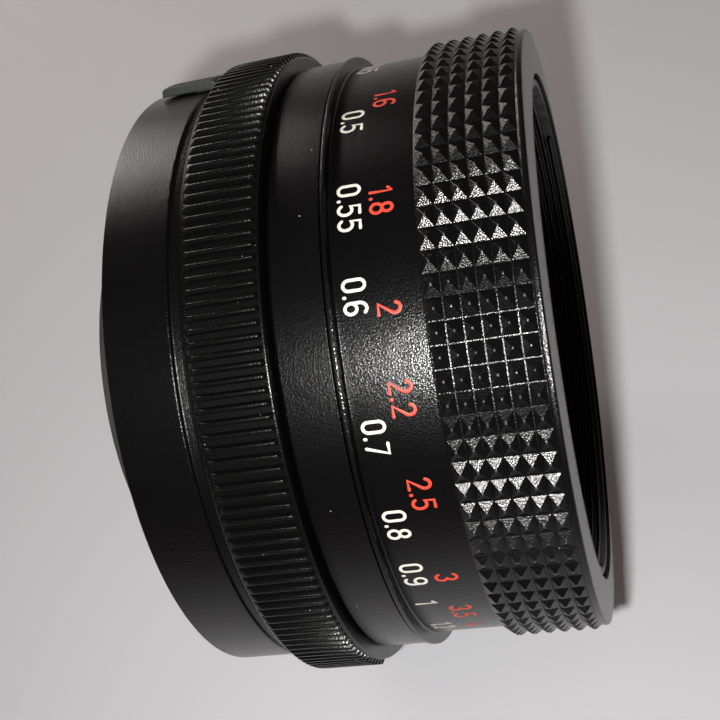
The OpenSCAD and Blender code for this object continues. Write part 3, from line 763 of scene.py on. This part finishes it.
# one number as curve tubes, laid flat: x is the reading direction and y is up, both in mm
def writeNumber(text, scale, pen):
    curve = bpy.data.curves.new("figure", "CURVE")
    curve.dimensions = "3D"
    curve.bevel_depth = pen * mm
    curve.bevel_resolution = 1
    curve.use_fill_caps = True
    wide, high = scale * figureLook["narrow"], scale * figureLook["low"]
    across = 0
    for letter in text:
        for stroke in figures[letter]:
            ends = [Vector(((x + across) * wide, y * high)) for x, y in stroke]
            closed = (ends[0] - ends[-1]).length < 1e-4
            if closed:
                ends = ends[:-1]
                weights = [1.0] * len(ends)
            else:
                ends, weights = roundedEnds(ends, pen)
            spline = curve.splines.new("POLY")
            spline.points.add(len(ends) - 1)
            for point, place, weight in zip(spline.points, ends, weights):
                point.co = (place.x * mm, place.y * mm, 0, 1)
                point.radius = weight
            spline.use_cyclic_u = closed
        across += figureWidths.get(letter, figureLook["width"]) + figureLook["gap"]
    piece = bpy.data.objects.new("figure", curve)
    bpy.context.scene.collection.objects.link(piece)
    pick(piece)
    bpy.ops.object.convert(target="MESH")
    return bpy.context.object


# tapers a stroke's ends so that they come out round
def roundedEnds(points, pen):
    def cap(tip, before):
        way = (tip - before).normalized()
        return [(tip + way * pen * sin(radians(a)), cos(radians(a))) for a in (35, 62, 84)]
    first = cap(points[0], points[1])[::-1]
    last = cap(points[-1], points[-2])
    return ([p for p, _ in first] + points + [p for p, _ in last],
            [w for _, w in first] + [1.0] * len(points) + [w for _, w in last])


# wraps a flat number round a ring: its middle at angle and x, its foot towards the mount
def wrapNumber(text, angle, x, r, scale=1.0, pen=figureLook["pen"]):
    piece = writeNumber(text, scale, pen)
    width = textWidth(text, scale)
    half = figureLook["height"] * figureLook["low"] * scale / 2
    for vertex in piece.data.vertices:
        along = vertex.co.x / mm - width / 2
        up = vertex.co.y / mm - half
        out = r + vertex.co.z / mm * figureLook["flatten"]
        turn = radians(angle) + along / r
        vertex.co = ((x + up) * mm, out * cos(turn) * mm, out * sin(turn) * mm)
    return piece


# joins the numbers of one scale into one piece
def gather(name, pieces, body, finish, slotName):
    piece = joinInto(pieces[0], pieces[1:])
    piece.name = piece.data.name = name
    pick(piece)
    bpy.ops.object.mode_set(mode="EDIT")
    bpy.ops.mesh.select_all(action="SELECT")
    bpy.ops.mesh.remove_doubles(threshold=1e-8)
    bpy.ops.mesh.normals_make_consistent(inside=False)
    bpy.ops.object.mode_set(mode="OBJECT")
    bpy.ops.object.shade_smooth_by_angle(angle=radians(60))
    fit(piece, body, finish, slotName)


# the scale follows the focusing law of a 50 mm lens on a 13.27 mm lead
focusLook = {"focal": 50.0, "lead": 13.27, "index": 246.5, "metresAt": 22.25, "feetAt": 25.05,
             "metres": ("~", "10", "5", "3", "2", "1.5", "1.2", "1", "0.9", "0.8", "0.7", "0.6", "0.55",
                        "0.5", "0.45", "0.4", "0.36", "0.33"),
             "feet": ("~", "30", "15", "10", "7", "5", "4", "3.5", "3", "2.5", "2.2", "2", "1.8", "1.6",
                      "1.4", "1.3", "1.1"), "foot": 0.3048}


# where a distance stands on the ring; infinity, written ~, stands at the index
def scaleAngle(text, unit=1.0):
    if text == "~":
        return focusLook["index"]
    focal = focusLook["focal"]
    k = float(text) * unit * 1000 / focal - 2
    extension = focal * (k - (k * k - 4) ** 0.5) / 2
    return focusLook["index"] - 360 * extension / focusLook["lead"]


def makeFocusNumbers(look):
    r = ringSpan("focus_scale_ring")[2] - scaleLook["lip"]
    white = [wrapNumber(text, scaleAngle(text), look["metresAt"], r)
             for text in look["metres"]]
    gather("metreNumbers", white, "focus_ring", whiteFill, "scale_white")
    orange = [wrapNumber(text, scaleAngle(text, look["foot"]), look["feetAt"], r)
              for text in look["feet"]]
    gather("footNumbers", orange, "focus_ring", orangeFill, "scale_orange")


stopLook = {"numbers": ("1.8", "2.8", "4", "5.6", "8", "11", "16"), "step": 8, "scale": 0.85, "pen": 0.13,
            "x": 13.1}
depthMarkLook = {"circle": 0.033, "stops": (4, 8, 16), "scale": 0.66, "pen": 0.11, "numberX": 17.0,
                 "indexX": 17.9, "indexScale": 1.3, "indexPen": 0.14,
                 "lineX": 19.3, "lineScale": 0.36, "linePen": 0.09}


def makeStopNumbers(look):
    floor = ringSpan("aperture_ring")[2] - apertureLook["groove"]
    pieces = [wrapNumber(text, focusLook["index"] - i * look["step"], look["x"], floor, look["scale"],
                         look["pen"]) for i, text in enumerate(look["numbers"])]
    gather("stopNumbers", pieces, "aperture_ring", whiteFill, "scale_white")


# the index line, and a line and number either side of it for each stop
def makeDepthMarks(look):
    r = ringSpan("depth_scale_ring")[2]
    index = focusLook["index"]
    pieces = [wrapNumber("|", index, look["indexX"], r, look["indexScale"], look["indexPen"])]
    for stop in look["stops"]:
        reach = 360 * stop * look["circle"] / focusLook["lead"]
        for angle in (index - reach, index + reach):
            pieces.append(wrapNumber("|", angle, look["lineX"], r, look["lineScale"], look["linePen"]))
            pieces.append(wrapNumber(str(stop), angle, look["numberX"], r, look["scale"], look["pen"]))
    gather("depthMarks", pieces, "base", whiteFill, "scale_white")


makeFocusNumbers(focusLook)
makeStopNumbers(stopLook)
makeDepthMarks(depthMarkLook)
print("scales filled")

# ---------- lens barrel and front ----------

barrelLook = {"thread": 24.5, "threadLength": 4.0, "start": 0.25, "pitch": 0.75, "turns": 4,
              "ridgeHeight": 0.36, "ridge": 0.66}
trimLook = {"grooves": 14, "depth": 0.12, "outer": 23.4, "inner": 16.2, "outerDrop": 0.2, "innerDrop": 1.2,
            "bore": 15.3, "seat": 18.5, "thick": 1.5}


def makeLensBarrel(look):
    core = cleanCopy("lensBarrel", "lens_barrel", 30)
    start = ringSpan("lens_barrel")[1] - look["threadLength"] + look["start"]
    thread = cutThread("filterRidge", start, look["pitch"], look["turns"], look["thread"] + 0.05,
                       look["thread"] - look["ridgeHeight"], look["ridge"])
    piece = joinInto(core, [thread])
    fit(piece, "lens_unit", anodisedBlack, "black_anodised", "lens_barrel")


# a blank ring whose front is a shallow cone of turned grooves
def makeTrimRing(look):
    x0, x1, r = ringSpan("front_trim_ring")
    outer, inner, seat = look["outer"], look["inner"], look["seat"]
    outerX, innerX, backX = x1 - look["outerDrop"], x1 - look["innerDrop"], x0 + look["thick"]
    cone = []
    for i in range(look["grooves"]):
        for part, drop in ((0, 0), (0.7, 0), (0.8, look["depth"])):
            t = (i + part) / look["grooves"]
            cone.append((outerX + (innerX - outerX) * t - drop, outer + (inner - outer) * t))
    piece = turnOnLathe("frontTrimRing", [(x0, seat), (x0, r), (x1, r), (x1, outer + 0.2)] + cone +
                        [(innerX, inner), (backX, look["bore"]), (backX, seat)])
    smoothShade(piece, 25)
    fit(piece, "lens_unit", matteBlack, "matte_black", "front_trim_ring")


makeLensBarrel(barrelLook)
makeTrimRing(trimLook)
print("front done")

# ---------- glass ----------

# vertex and radius of each surface from the front, centre behind the vertex if positive; rim in mm
glassLook = {
    "frontElement": ("front_element", (28.75, 35.4), (24.4, 101.0), 15.6),
    "secondElement": ("second_element", (24.15, 20.2), (19.055, 0), 12.6),
    "thirdElement": ("third_element", (19.045, 0), (17.45, 13.1), 12.6),
    "fourthElement": ("fourth_element", (5.45, -14.5), (3.855, 0), 10.5),
    "fifthElement": ("fifth_element", (3.845, 0), (-1.95, -19.6), 10.5),
    "rearElement": ("rear_element", (-2.15, 66.0), (-5.6, -36.0), 11.5),
}


# points of one polished face from the axis to the rim
def polishedFace(vertex, curve, rim, limit, steps=22):
    if curve == 0:
        return [(vertex, rim * i / 2) for i in range(3)]
    points = []
    for i in range(steps + 1):
        r = rim * i / steps
        sag = abs(curve) - (curve * curve - r * r) ** 0.5
        x = vertex - sag if curve > 0 else vertex + sag
        points.append((max(limit[0], min(limit[1], x)), r))
    return points


def makeElement(name, node, front, rear, rim):
    low, high, _ = ringSpan(node)
    face = polishedFace(*front, rim, (low, high))
    back = polishedFace(*rear, rim, (low, high))
    piece = turnOnLathe(name, face + back[::-1], 128)
    smoothShade(piece, 20)
    fit(piece, "lens_unit", coatedGlass, "coated_glass", node)


for name, (node, front, rear, rim) in glassLook.items():
    makeElement(name, node, front, rear, rim)
print("glass ground")

# ---------- CAD pieces that keep their shape ----------

smoothNodes = {
    "fixedSleeve": ("fixed_sleeve", "base", anodisedBlack, "black_anodised"),
    "rearBaffle": ("rear_baffle", "base", matteBlack, "matte_black"),
    "frontCell": ("front_cell", "lens_unit", matteBlack, "matte_black"),
    "rearCell": ("rear_cell", "lens_unit", anodisedBlack, "black_anodised"),
    "frontRetainer": ("front_retainer", "lens_unit", matteBlack, "matte_black"),
    "rearRetainer": ("rear_retainer", "lens_unit", matteBlack, "matte_black"),
    "focusHelicoid": ("focus_helicoid", "focus_ring", machinedAlloy, "bare_aluminium"),
}
for name, (node, body, finish, slotName) in smoothNodes.items():
    fit(cleanCopy(name, node), body, finish, slotName, node)

plainNodes = {
    blackSteel: ("mount_screws", "baffle_screws", "depth_ring_screws", "aperture_drive_screw",
                 "focus_ring_screws"),
    groundSteel: ("key_screws", "click_ball", "click_spring"),
    turnedBrass: ("guide_keys", "pin_guide", "aperture_cam", "iris_drive_ring"),
    machinedAlloy: ("iris_base",),
    matteBlack: ("doublet_retainer", "rear_doublet_retainer"),
    bladeSteel: tuple("iris_blade_%d" % (i + 1) for i in range(6)),
}
for finish, nodes in plainNodes.items():
    for node in nodes:
        mesh = frame["nodes"][node].data
        mesh.materials.clear()
        mesh.materials.append(finish)
print("CAD pieces finished")

# ---------- stage, light and camera ----------

stageLook = {"size": 3.0, "colour": (0.53, 0.54, 0.56), "drop": 0.05}


def makeFloor(look):
    deselectAll()
    bpy.ops.mesh.primitive_plane_add(size=look["size"], location=(0, 0, cadBox[0][2] - look["drop"] * mm))
    floor = bpy.context.object
    floor.name = "floor"
    floor.data.materials.append(makeFinish("tableTop", {
        "colour": look["colour"], "roughness": 0.6, "grain": 300, "depth": 0.05, "dust": 0.0}))


# camera: azimuth from -Y towards +X and elevation, about a point on the optical axis
cameraLook = {"target": (14.7, -0.4, -0.2), "azimuth": 27.5, "elevation": 58.22, "distance": 127.4,
              "roll": -31.78, "lens": 59.27}


# a direction out from the object; azimuth 0 looks along +Y
def awayFrom(azimuth, elevation):
    a, e = radians(azimuth), radians(elevation)
    return Vector((sin(a) * cos(e), -cos(a) * cos(e), sin(e)))


def makeCamera(look):
    camera = bpy.data.objects.new("camera", bpy.data.cameras.new("camera"))
    bpy.context.scene.collection.objects.link(camera)
    back = awayFrom(look["azimuth"], look["elevation"])
    roll = Matrix.Rotation(radians(look["roll"]), 4, "Z")
    turn = back.to_track_quat("Z", "Y").to_matrix().to_4x4() @ roll
    target = Vector(look["target"]) * mm
    camera.matrix_world = Matrix.Translation(target + back * look["distance"] * mm) @ turn
    camera.data.lens = look["lens"]
    camera.data.sensor_width = 36
    camera.data.clip_start = 0.005
    camera.data.clip_end = 10
    bpy.context.scene.camera = camera
    return camera


# the flash stands just left of and below the camera; the two soft boxes fill the sides and the back
lampLook = {"flash": (6, 0.22, (1.0, 0.985, 0.97)), "flashOffset": (-11, -10, 0),
            "softBoxes": (("leftBox", 300, 0.22, (0.85, 0.93, 1.0), -75, 30, 600),
                          ("backBox", 300, 1.5, (1.0, 0.93, 0.9), 215, 18, 600))}


def addLamp(name, size, power, colour, place):
    lamp = bpy.data.objects.new(name, bpy.data.lights.new(name, "AREA"))
    bpy.context.scene.collection.objects.link(lamp)
    lamp.data.shape = "DISK"
    lamp.data.size = size * mm
    lamp.data.energy = power
    lamp.data.color = colour
    back = (place - Vector(cameraLook["target"]) * mm).normalized()
    lamp.matrix_world = Matrix.Translation(place) @ back.to_track_quat("Z", "Y").to_matrix().to_4x4()


def makeLamps(look, camera):
    size, power, colour = look["flash"]
    addLamp("flash", size, power, colour, camera.matrix_world @ (Vector(look["flashOffset"]) * mm))
    for name, size, power, colour, azimuth, elevation, distance in look["softBoxes"]:
        addLamp(name, size, power, colour, awayFrom(azimuth, elevation) * distance * mm)


# the room: a warm fill, dimmer in reflections, and a pale backdrop behind the floor
roomLook = {"colour": (1.0, 0.76, 0.71), "fill": 0.22, "inGloss": 0.05, "backdrop": 0.6}


def makeRoom(look):
    world = bpy.data.worlds.new("room")
    world.use_nodes = True
    tree = world.node_tree
    room = tree.nodes["Background"]
    room.inputs["Color"].default_value = (*look["colour"], 1)
    ray = tree.nodes.new("ShaderNodeLightPath")
    strength = addMath(tree, "MULTIPLY_ADD", ray.outputs["Is Glossy Ray"],
                       look["inGloss"] - look["fill"], look["fill"])
    strength = addMath(tree, "MULTIPLY_ADD", ray.outputs["Is Camera Ray"],
                       look["backdrop"] - look["fill"], strength)
    tree.links.new(strength, room.inputs["Strength"])
    bpy.context.scene.world = world


makeFloor(stageLook)
makeLamps(lampLook, makeCamera(cameraLook))
makeRoom(roomLook)
bpy.context.scene.view_settings.view_transform = "Standard"
print("stage set")
